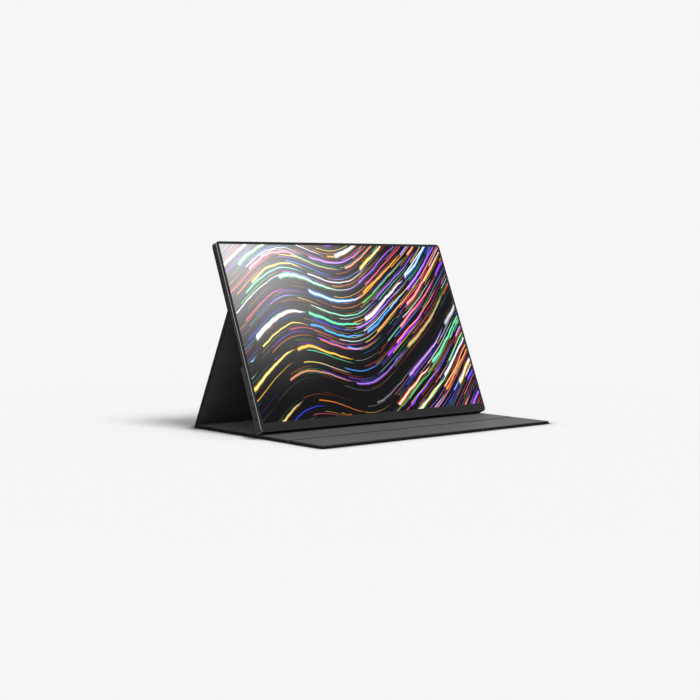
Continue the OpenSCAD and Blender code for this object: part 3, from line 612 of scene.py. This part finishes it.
paint(leather("fold_leather"), "foot_fold", "flap_fold", "upper_fold")
for panel in ("floor", "front", "stand", "upper"):
    inner = lining_way(panel + "_skin")
    middle = sum(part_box(panel + "_skin"), Vector()) / 2
    skin = softened(panel + "_skin", SKIN_ROUND, leather(panel + "_leather", inner), 5,
                    pick=lambda edge: rim_edge(edge, inner, middle))
    edged(skin, inner, SKIN_EDGE, EDGE_PAINT_AND_SHADE)
    cloth = FLAT_SUEDE if panel in ("floor", "front") else INNER_SUEDE_LIGHTENED
    lining = softened(panel + "_lining", LINING_ROUND, cloth)
    # The lining's side and groove walls take the black edge material as painted shade.
    edged(lining, inner, LINING_EDGE, EDGE_PAINT_AND_SHADE)
paint(STOCK, "floor_board_2", "floor_board_3", "floor_board_4", "spine_board", "front_board", "stand_board",
      "upper_board")
paint(NICKEL, "monitor_magnets", "cover_magnets", "flap_magnets")
softened("front_frame", FRAME_ROUND, CASING, 2, pick=lambda edge: level_edge(edge, FRAME_DEPTHS))
softened("rear_panel", PANEL_ROUND, CASING, 2, pick=lambda edge: level_edge(edge, PANEL_DEPTHS))
softened("lower_housing", HOUSING_ROUND, PLASTIC, 3, pick=housing_edge)
CAPS = button_plastic("button_plastic")
for button in BUTTONS:
    softened(button, CAP_ROUND, CAPS, 4, pick=cap_edge)
paint(STEEL, "backlight_tray")
paint(metal("screw_steel", (0.10, 0.10, 0.105), (0.18, 0.18, 0.185), 0.3), "board_screws")
paint(TINNED, "chip_shield", "usb_socket_lower", "usb_socket_upper", "hdmi_socket")
paint(moulded("socket_plastic", (0.012, 0.012, 0.012), (0.022, 0.022, 0.022), 0.4), "audio_socket")
paint(circuit("circuit_board"), "main_board", "panel_board", "button_board")
paint(moulded("chips", (0.014, 0.014, 0.015), (0.030, 0.030, 0.031), 0.5, 0.2 * MM, 0.01 * MM),
      "board_chips", "button_switches")
paint(flexible("flex_film", (1, 0, 0)), "panel_flex")
paint(flexible("cable_film", tuple(UP)), "board_cable")
paint(sheet_film("films", (0.70, 0.71, 0.72), (0.86, 0.87, 0.88), 0.3), "optical_films", "light_guide")
paint(sheet_film("reflector", (0.80, 0.80, 0.79), (0.90, 0.90, 0.89), 0.5), "reflector_sheet")
paint(light_strip("led_strip"), "led_strip")
paint(moulded("speaker", (0.016, 0.016, 0.017), (0.036, 0.036, 0.037), 0.6, 0.4 * MM, 0.03 * MM),
      "speaker_left", "speaker_right")
paint(moulded("window", (0.002, 0.002, 0.003), (0.004, 0.004, 0.005), 0.2, 0.5 * MM, 0.004 * MM, gloss=0.1),
      "status_light")

# Screen picture: the colours of its strokes.
PALETTE = [
    (1.0, 0.26, 0.02), (0.03, 0.06, 1.0), (1.0, 0.55, 0.06), (0.9, 0.03, 0.01), (0.05, 0.65, 0.12),
    (0.30, 0.04, 0.95), (1.0, 0.38, 0.03), (0.06, 0.35, 1.0), (0.9, 0.9, 1.0), (0.9, 0.10, 0.22),
    (0.12, 0.85, 0.45), (1.0, 0.75, 0.15), (0.45, 0.12, 1.0), (1.0, 0.2, 0.02),
]

# The waves that the strokes follow, each with its length, height and phase, and their climb to the right.
WAVES = ((330 * MM, 30 * MM, 0.9), (150 * MM, 6 * MM, 2.1))
CLIMB = 0.42
# The calm dark band through the middle, and the distances from it over which the strokes come back.
CALM_AT = 62 * MM
CALM_FADE = (4 * MM, 26 * MM)
# Strokes grow more crowded from the lower left to the upper right.
CROWD_SPAN = (-90 * MM, 330 * MM)
CROWD_LEAST = 0.35
CROWD_RISE = 1.3
# How far the painted glare, a pale reflection painted into the picture, reaches from the upper left, across
# and down, and its strength.
GLARE_W = 290 * MM
GLARE_H = 205 * MM
GLARE_MOST = 0.88
GLARE_POWER = 2.2
# Each layer is shifted by this much for each unit of its seed.
LAYER_SHIFT = 1.37 * MM


def streak_layer(g, along, over, crowd, seed, pitch, length, thick, share, strength, white):
    """One layer of glowing strokes that follow the flow lines of the picture, fewer where it is calm."""
    row = g.math("FLOOR", g.math("DIVIDE", over, pitch))
    shift = g.random(g.combine(row, seed, 0.5))
    run = g.total(g.math("DIVIDE", along, length), g.times(shift, 7.0))
    column = g.math("FLOOR", run)
    step = g.math("FRACT", run)
    first = g.random(g.combine(row, column, seed))
    second = g.random(g.combine(column, row, seed + 3.7))
    third = g.random(g.combine(row, column, seed + 9.1))
    sway = g.noise(g.combine(g.times(along, 1 / (22 * MM)), g.times(row, 3.1), seed), 1.0, 2, 0.5)
    centre = g.total(0.5, g.times(g.math("SUBTRACT", sway, 0.5), 0.55))
    off = g.math("ABSOLUTE", g.math("SUBTRACT", g.math("FRACT", g.math("DIVIDE", over, pitch)), centre))
    off = g.times(off, pitch)
    tail = g.math("POWER", g.math("SUBTRACT", 1.0, step, clamp=True), 0.7)
    head = g.between(step, 0.0, 0.03)
    width = g.times(g.total(0.15, g.times(tail, 0.85)), thick, g.total(0.45, g.times(second, 0.9)))
    near = g.math("DIVIDE", off, width)
    square = g.times(near, near)
    body = g.math("EXPONENT", g.times(square, square, -1.0))
    halo = g.times(g.math("EXPONENT", g.times(square, -0.5)), 0.12)
    core = g.math("EXPONENT", g.times(square, -9.0))
    there = g.times(g.math("LESS_THAN", first, g.times(crowd, share)), head, g.between(step, 1.0, 0.8))
    hot = g.times(core, g.between(second, 0.45, 0.9), white)
    lit = g.mix(hot, g.steps(third, PALETTE), (1, 1, 1))
    bright = g.times(g.math("MAXIMUM", body, halo), there, strength)
    return g.scaled(lit, bright)


# Layers of the picture: seed, distance between strokes, their length and half width in mm,
# how many of them are lit, their strength and how white their middle is.
LAYERS = (
    (1.0, 2.6, 46, 0.30, 0.50, 0.7, 0.0),
    (2.0, 4.7, 70, 0.60, 0.60, 1.0, 0.0),
    (3.0, 8.6, 96, 1.25, 0.62, 1.3, 0.7),
    (4.0, 15.0, 84, 2.5, 0.60, 1.5, 1.0),
)


def picture(g):
    """Colour of the lit picture: strokes of light that flow in long waves, on black."""
    where = g.vector("SUBTRACT", g.place(), tuple(BASE))
    across = g.vector("DOT_PRODUCT", where, (1, 0, 0))
    high = g.vector("DOT_PRODUCT", where, tuple(UP))
    over = high
    for length, height, phase in WAVES:
        wave = g.math("SINE", g.total(g.times(across, 2 * math.pi / length), phase))
        over = g.total(over, g.times(wave, height))
    over = g.total(over, g.times(across, -CLIMB))
    crowd = g.between(g.total(across, g.times(high, CROWD_RISE)), *CROWD_SPAN, CROWD_LEAST, 1.0)
    total = None
    for seed, pitch, length, thick, share, strength, white in LAYERS:
        layer = streak_layer(g, across, g.total(over, seed * LAYER_SHIFT), crowd, seed, pitch * MM,
                             length * MM, thick * MM, share, strength, white)
        total = layer if total is None else g.vector("MAXIMUM", total, layer)
    calm = g.between(g.math("ABSOLUTE", g.math("SUBTRACT", over, CALM_AT)), *CALM_FADE)
    return g.scaled(total, calm), across, high


def painted_glare(g, across, high):
    """Painted reflection: a pale glare over the upper left of the lit area that dies out towards the
    middle.
    """
    left = g.math("DIVIDE", g.total(across, SCREEN_W / 2), GLARE_W)
    low = g.math("DIVIDE", g.math("SUBTRACT", BEZEL_BOTTOM + SCREEN_H, high), GLARE_H)
    reach = g.math("SQRT", g.total(g.times(left, left), g.times(low, low)))
    level = g.times(g.math("SUBTRACT", 1.0, reach, clamp=True), GLARE_MOST)
    return g.math("POWER", level, GLARE_POWER)


def lit_screen(name):
    """Laminated glass over the lit picture, with a pale glare painted in as a reflection."""
    g = Graph(name)
    total, across, high = picture(g)
    # The glare is a reflection painted into the emitted picture.
    glow = painted_glare(g, across, high)
    seen = g.vector("ADD", total, g.combine(glow, glow, glow))
    smudge = g.noise(g.place(), 40 * MM, 3, 0.55)
    return g.finish(Base_Color=(0.004, 0.004, 0.005), Roughness=g.between(smudge, 0.3, 0.7, 0.16, 0.2),
                    Emission_Color=seen, Emission_Strength=1.0, Specular_IOR_Level=0.06)


def black_border(name):
    """Glass printed black from behind, with the faint smudges of use."""
    g = Graph(name)
    smudge = g.noise(g.place(), 40 * MM, 3, 0.55)
    colour = g.mix(smudge, (0.008, 0.008, 0.009), (0.013, 0.013, 0.014))
    return g.finish(Base_Color=colour, Roughness=g.between(smudge, 0.3, 0.7, 0.05, 0.09),
                    Specular_IOR_Level=0.2)


def plate(name, outline, hole, low, high, node, material):
    """A flat sheet in the monitor's frame with a straight hole, replacing part of a CAD node."""
    form = bmesh.new()

    def ring(points, depth):
        return [form.verts.new(BASE + Vector((x, 0, 0)) + UP * z + DEPTH * depth) for x, z in points]

    def bridge(first, second):
        for k in range(len(first)):
            m = (k + 1) % len(first)
            form.faces.new((first[k], first[m], second[m], second[k]))

    front = ring(outline, low)
    back = ring(outline, high)
    bridge(back, front)
    if hole:
        front_in = ring(hole, low)
        back_in = ring(hole, high)
        bridge(front_in, back_in)
        bridge(front, front_in)
        bridge(back_in, back)
    else:
        form.faces.new(front)
        form.faces.new(list(reversed(back)))
    bmesh.ops.recalc_face_normals(form, faces=form.faces)
    mesh = bpy.data.meshes.new(name)
    form.to_mesh(mesh)
    form.free()
    piece = bpy.data.objects.new(name, mesh)
    bpy.context.scene.collection.objects.link(piece)
    mesh.materials.append(material)
    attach(piece, "monitor")
    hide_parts(node)
    return piece


def rounded(half_w, low, high, radius):
    """Points of an upright rectangle with round corners, each side with as many points."""
    points = []
    corners = ((half_w - radius, low + radius, -90), (half_w - radius, high - radius, 0),
               (-half_w + radius, high - radius, 90), (-half_w + radius, low + radius, 180))
    for x, z, start in corners:
        for k in range(CORNER_STEPS + 1):
            turn = math.radians(start + 90 * k / CORNER_STEPS)
            points.append((x + radius * math.cos(turn), z + radius * math.sin(turn)))
    return points


def glass_front():
    """The front glass as two pieces: its black border and the lit area."""
    low = GLASS_INSET
    high = BEZEL_BOTTOM + SCREEN_H + BEZEL_TOP - GLASS_INSET
    half_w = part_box("front_glass")[1].x
    outside = rounded(half_w, low, high, CASING_CORNER - GLASS_INSET)
    inside = rounded(SCREEN_W / 2, BEZEL_BOTTOM, BEZEL_BOTTOM + SCREEN_H, LIT_CORNER)
    border = plate("glass_border", outside, inside, 0, GLASS_T, "front_glass", black_border("black_glass"))
    window = plate("glass_window", inside, None, 0, GLASS_T, "front_glass", lit_screen("lit_screen"))


glass_front()
paint(lit_screen("lit_panel"), "lcd_panel")
paint(moulded("black_tape", (0.01, 0.01, 0.01), (0.02, 0.02, 0.02)), "glass_tape")

# Surroundings: the background's tone, the floor's as it is seen and as it lights the object, and the
# light from all round. Lengths are in metres.
PALE = 0.922
FLOOR_COLOUR = 0.90
FLOOR_BOUNCE = 0.75
AMBIENT = 0.25
FLOOR_HALF = 6.0
FLOOR_DROP = 0.0002
# Painted contact shade where the object touches the floor, from the occlusion close to it: how far it
# reaches and how strong it is.
CONTACT = 0.022
CONTACT_POWER = 7
# The floor passes into the background round the footprint, up to a share of it. The distance over which
# it does so grows from the front to the back, between two shares of half the footprint's depth. Farther
# out, from FADE_START to FADE_END, it passes into the background wholly.
FADE_SIDE = 0.06
FADE_BACK = 0.20
FADE_TURN = (0.6, 1.4)
FADE_MOST = 0.72
FADE_START = 0.45
FADE_END = 0.80


def seen_directly(tree):
    """1 for a ray that comes from the camera, a mirror or through glass, otherwise 0."""
    path = tree.nodes.new("ShaderNodeLightPath")
    share = path.outputs["Is Camera Ray"]
    for ray in ("Is Transmission Ray", "Is Glossy Ray"):
        either = tree.nodes.new("ShaderNodeMath")
        either.operation = "MAXIMUM"
        tree.links.new(share, either.inputs[0])
        tree.links.new(path.outputs[ray], either.inputs[1])
        share = either.outputs[0]
    return share


def make_floor():
    """Pale floor that keeps the shadow close to the object, darkest where the object touches it."""
    bpy.ops.mesh.primitive_plane_add(size=2 * FLOOR_HALF, location=(0, 0, -FLOOR_DROP))
    floor = bpy.context.object
    floor.name = "floor"
    g = Graph("floor")
    where = g.place()
    parts = g.node("ShaderNodeSeparateXYZ")
    g.put(parts.inputs[0], where)
    front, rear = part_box("front_skin")[0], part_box("foot_fold")[1]
    half = (rear - front) / 2
    over = g.math("ABSOLUTE", g.math("SUBTRACT", parts.outputs[1], (rear.y + front.y) / 2))
    beside = g.math("MAXIMUM", g.math("SUBTRACT", g.math("ABSOLUTE", parts.outputs[0]), half.x), 0.0)
    beyond = g.math("MAXIMUM", g.math("SUBTRACT", over, half.y), 0.0)
    away = g.vector("LENGTH", g.combine(beside, beyond))
    contact = g.node("ShaderNodeAmbientOcclusion", samples=16)
    contact.inputs["Distance"].default_value = CONTACT
    # Painted contact shade: the floor's colour and glow are darkened by the occlusion.
    shade = g.math("POWER", contact.outputs["AO"], CONTACT_POWER)
    reach = g.between(parts.outputs[1], half.y * FADE_TURN[0], half.y * FADE_TURN[1], FADE_SIDE, FADE_BACK)
    near = g.times(g.between(g.math("DIVIDE", away, reach), 0.1, 1.0), FADE_MOST)
    far = g.between(g.vector("LENGTH", where), FADE_START, FADE_END)
    share = g.times(g.math("MAXIMUM", near, far), seen_directly(g.tree))
    shaded = g.scaled((FLOOR_COLOUR,) * 3, shade)
    colour = g.mix(seen_directly(g.tree), (FLOOR_BOUNCE,) * 3, shaded)
    g.finish(Base_Color=colour, Roughness=1.0, Specular_IOR_Level=0.0)
    glow = g.node("ShaderNodeEmission")
    g.put(glow.inputs["Color"], (PALE,) * 3)
    g.put(glow.inputs["Strength"], shade)
    blend = g.node("ShaderNodeMixShader")
    g.put(blend.inputs[0], share)
    g.put(blend.inputs[1], g.shader.outputs[0])
    g.put(blend.inputs[2], glow.outputs[0])
    g.put(g.output.inputs["Surface"], blend.outputs[0])
    floor.data.materials.append(g.material)


def make_world():
    world = bpy.data.worlds.new("world")
    bpy.context.scene.world = world
    world.use_nodes = True
    tree = world.node_tree
    ambient = tree.nodes["Background"]
    ambient.inputs["Color"].default_value = (1, 1, 1, 1)
    ambient.inputs["Strength"].default_value = AMBIENT
    seen = tree.nodes.new("ShaderNodeBackground")
    seen.inputs["Color"].default_value = (PALE, PALE, PALE, 1)
    blend = tree.nodes.new("ShaderNodeMixShader")
    tree.links.new(seen_directly(tree), blend.inputs[0])
    tree.links.new(ambient.outputs[0], blend.inputs[1])
    tree.links.new(seen.outputs[0], blend.inputs[2])
    tree.links.new(blend.outputs[0], tree.nodes["World Output"].inputs["Surface"])


def sun(name, azimuth, height, spread, strength):
    """A broad soft light. The azimuth counts from the front of the object towards its right."""
    data = bpy.data.lights.new(name, "SUN")
    data.angle = math.radians(spread)
    data.energy = strength
    made = bpy.data.objects.new(name, data)
    turn = math.radians(azimuth)
    rise = math.radians(height)
    source = Vector((math.sin(turn) * math.cos(rise), -math.cos(turn) * math.cos(rise), math.sin(rise)))
    made.rotation_euler = source.to_track_quat("Z", "Y").to_euler()
    bpy.context.scene.collection.objects.link(made)


make_floor()
make_world()
sun("key", azimuth=8, height=52, spread=22, strength=2.6)
sun("fill", azimuth=100, height=62, spread=40, strength=0.3)
sun("rim", azimuth=-56, height=30, spread=30, strength=0.2)
bpy.context.scene.view_settings.view_transform = "Standard"
